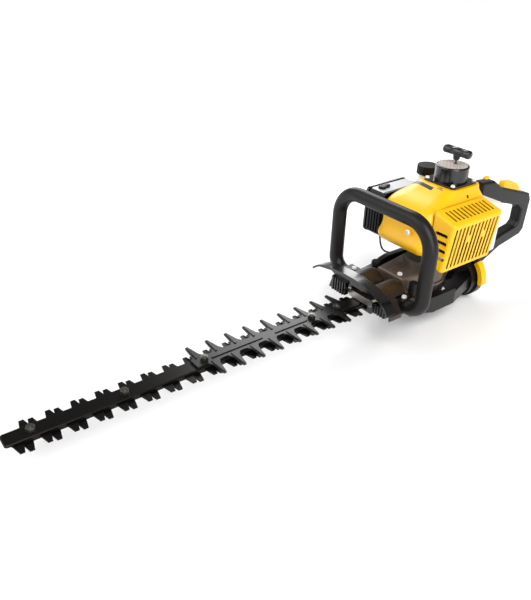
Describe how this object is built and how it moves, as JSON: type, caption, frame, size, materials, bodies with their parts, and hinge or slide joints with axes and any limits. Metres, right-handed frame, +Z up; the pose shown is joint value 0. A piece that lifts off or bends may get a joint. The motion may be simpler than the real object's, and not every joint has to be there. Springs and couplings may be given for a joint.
{
  "type": "hedge trimmer",
  "caption": "Petrol hedge trimmer with a double-sided reciprocating blade, wrap-around front loop handle, turning rear D-handle and recoil starter.",
  "frame": {"origin": "on the floor plane that the chassis keel stands on, straight under the crankshaft axis", "axes": "+X along the blades to their tips, +Y to the operator's left (muffler side), +Z up"},
  "size_m": [1.062, 0.233, 0.3125],
  "materials": {
    "blade_steel": "black-oxidised ground steel",
    "black_steel": "satin black paint",
    "fastener_steel": "zinc plated",
    "machined_steel": "machined",
    "cast_aluminium": "as cast",
    "brown_plastic": "moulded, semi-gloss",
    "black_plastic": "moulded, satin",
    "yellow_plastic": "moulded, gloss",
    "rubber": "matt",
    "tank_plastic": "translucent blow-moulded",
    "muffler_steel": "heat-stained sheet",
    "spark_plug": "plated with a white insulator",
    "brass": "machined",
    "filter_foam": "oiled foam",
    "rope": "braided nylon"
  },
  "bodies": {
    "engine_and_chassis": {"air_box": "black_plastic", "air_filter": "filter_foam", "air_filter_cover": "black_plastic", "antivibration_mounts": "rubber", "blade_bolts": "fastener_steel", "blade_nuts": "fastener_steel", "carburetor": "cast_aluminium", "chassis": "black_plastic", "clutch_housing": "cast_aluminium", "crank_bearings": "machined_steel", "crankcase": "cast_aluminium", "cylinder": "cast_aluminium", "engine_cover": "yellow_plastic", "finger_guard": "black_steel", "front_handle": "rubber", "fuel_tank": "tank_plastic", "gear_bearings": "machined_steel", "gearcase_lower": "brown_plastic", "gearcase_upper": "cast_aluminium", "guide_bar": "blade_steel", "hand_guard": "black_plastic", "hood": "brown_plastic", "ignition_coil": "black_plastic", "intake_insulator": "black_plastic", "muffler": "muffler_steel", "muffler_cover": "yellow_plastic", "plug_boot": "rubber", "recoil_spring": "machined_steel", "screws": "fastener_steel", "spark_plug": "spark_plug", "starter_housing": "black_plastic", "throttle_cable": "black_plastic"},
    "upper_blade": {"upper_blade": "blade_steel"},
    "lower_blade": {"lower_blade": "blade_steel"},
    "upper_link": {"upper_link": "machined_steel"},
    "lower_link": {"lower_link": "machined_steel"},
    "cam_gear": {"cam_gear": "machined_steel", "eccentric_discs": "machined_steel"},
    "clutch_drum": {"clutch_drum": "machined_steel"},
    "crankshaft": {"crankshaft": "machined_steel", "clutch_hub": "machined_steel", "clutch_shoes": "machined_steel", "flywheel": "cast_aluminium", "flywheel_nut": "fastener_steel"},
    "piston": {"piston": "cast_aluminium"},
    "connecting_rod": {"connecting_rod": "machined_steel", "rod_pins": "machined_steel"},
    "starter_grip": {"starter_grip": "black_plastic", "starter_rope": "rope"},
    "starter_pulley": {"starter_pulley": "black_plastic"},
    "choke_lever": {"choke_lever": "black_plastic"},
    "primer_bulb": {"primer_bulb": "rubber"},
    "throttle_valve": {"throttle_valve": "brass"},
    "fuel_cap": {"fuel_cap": "black_plastic"},
    "rear_handle": {"rear_handle_left": "black_plastic", "rear_handle_right": "black_plastic"},
    "lock_lever": {"lock_lever": "yellow_plastic"},
    "throttle_trigger": {"throttle_trigger": "black_plastic"},
    "throttle_lockout": {"throttle_lockout": "yellow_plastic"},
    "stop_switch": {"stop_switch": "yellow_plastic"}
  },
  "joints": [
    {"name": "upper_blade_stroke", "type": "slide", "parent": "engine_and_chassis", "child": "upper_blade", "axis": [1, 0, 0], "range_m": [-0.01465, 0.00285]},
    {"name": "lower_blade_stroke", "type": "slide", "parent": "engine_and_chassis", "child": "lower_blade", "axis": [1, 0, 0], "range_m": [-0.00285, 0.01465]},
    {"name": "upper_link_swing", "type": "hinge", "parent": "upper_blade", "child": "upper_link", "pos_m": [0.1419, 0, 0.07], "axis": [0, 0, 1], "range_deg": [-1.4, 9.4]},
    {"name": "lower_link_swing", "type": "hinge", "parent": "lower_blade", "child": "lower_link", "pos_m": [0.1301, 0, 0.07], "axis": [0, 0, 1], "range_deg": [-9.4, 1.4]},
    {"name": "cam_gear_spin", "type": "hinge", "parent": "engine_and_chassis", "child": "cam_gear", "pos_m": [0.04375, 0, 0.09], "axis": [0, 0, 1], "continuous": true},
    {"name": "clutch_drum_spin", "type": "hinge", "parent": "engine_and_chassis", "child": "clutch_drum", "pos_m": [0, 0, 0.1], "axis": [0, 0, 1], "continuous": true},
    {"name": "crankshaft_spin", "type": "hinge", "parent": "engine_and_chassis", "child": "crankshaft", "pos_m": [0, 0, 0.18], "axis": [0, 0, 1], "continuous": true},
    {"name": "piston_stroke", "type": "slide", "parent": "engine_and_chassis", "child": "piston", "axis": [1, 0, 0], "range_m": [-0.024, 0]},
    {"name": "connecting_rod_swing", "type": "hinge", "parent": "piston", "child": "connecting_rod", "pos_m": [0.058, 0, 0.18], "axis": [0, 0, 1], "range_deg": [-10, 10]},
    {"name": "starter_pull", "type": "slide", "parent": "engine_and_chassis", "child": "starter_grip", "axis": [0, 0, 1], "range_m": [0, 0.5], "stiffness_N_per_m": 20, "deforming": ["starter_rope"]},
    {"name": "starter_pulley_spin", "type": "hinge", "parent": "engine_and_chassis", "child": "starter_pulley", "pos_m": [0, 0, 0.26], "axis": [0, 0, 1], "range_deg": [0, 1520]},
    {"name": "choke_lever_turn", "type": "hinge", "parent": "engine_and_chassis", "child": "choke_lever", "pos_m": [0.084, -0.079, 0.234], "axis": [0, 0, 1], "range_deg": [0, 60]},
    {"name": "primer_bulb_press", "type": "slide", "parent": "engine_and_chassis", "child": "primer_bulb", "axis": [0, 0, 1], "range_m": [0, 0.004], "stiffness_N_per_m": 400},
    {"name": "throttle_valve_turn", "type": "hinge", "parent": "engine_and_chassis", "child": "throttle_valve", "pos_m": [0.056, -0.07, 0.18], "axis": [0, 0, 1], "range_deg": [-50, 0]},
    {"name": "fuel_cap_turn", "type": "hinge", "parent": "engine_and_chassis", "child": "fuel_cap", "pos_m": [-0.047, -0.09, 0.232], "axis": [0, 0, 1], "range_deg": [0, 360]},
    {"name": "rear_handle_turn", "type": "hinge", "parent": "engine_and_chassis", "child": "rear_handle", "pos_m": [-0.09, 0, 0.0455], "axis": [1, 0, 0], "range_deg": [-90, 90]},
    {"name": "lock_lever_press", "type": "hinge", "parent": "rear_handle", "child": "lock_lever", "pos_m": [-0.085, 0.0498, 0.0455], "axis": [1, 0, 0], "range_deg": [-10, 0], "stiffness_Nm_per_rad": 0.3},
    {"name": "throttle_trigger_squeeze", "type": "hinge", "parent": "rear_handle", "child": "throttle_trigger", "pos_m": [-0.1282, 0, 0.198], "axis": [0, 1, 0], "range_deg": [0, 14], "stiffness_Nm_per_rad": 0.3},
    {"name": "throttle_lockout_press", "type": "hinge", "parent": "rear_handle", "child": "throttle_lockout", "pos_m": [-0.212, 0, 0.194], "axis": [0, 1, 0], "range_deg": [0, 2.5], "stiffness_Nm_per_rad": 2},
    {"name": "stop_switch_slide", "type": "slide", "parent": "rear_handle", "child": "stop_switch", "axis": [1, 0, 0], "range_m": [-0.004, 0.004]}
  ],
  "couplings": [
    {"joint": "lower_blade_stroke", "follows": "upper_blade_stroke", "ratio": -1},
    {"joint": "clutch_drum_spin", "follows": "cam_gear_spin", "ratio": -4.3846},
    {"joint": "starter_pulley_spin", "follows": "starter_pull", "rad_per_m": 52.63},
    {"joint": "throttle_valve_turn", "follows": "throttle_trigger_squeeze", "ratio": -3.2}
  ]
}
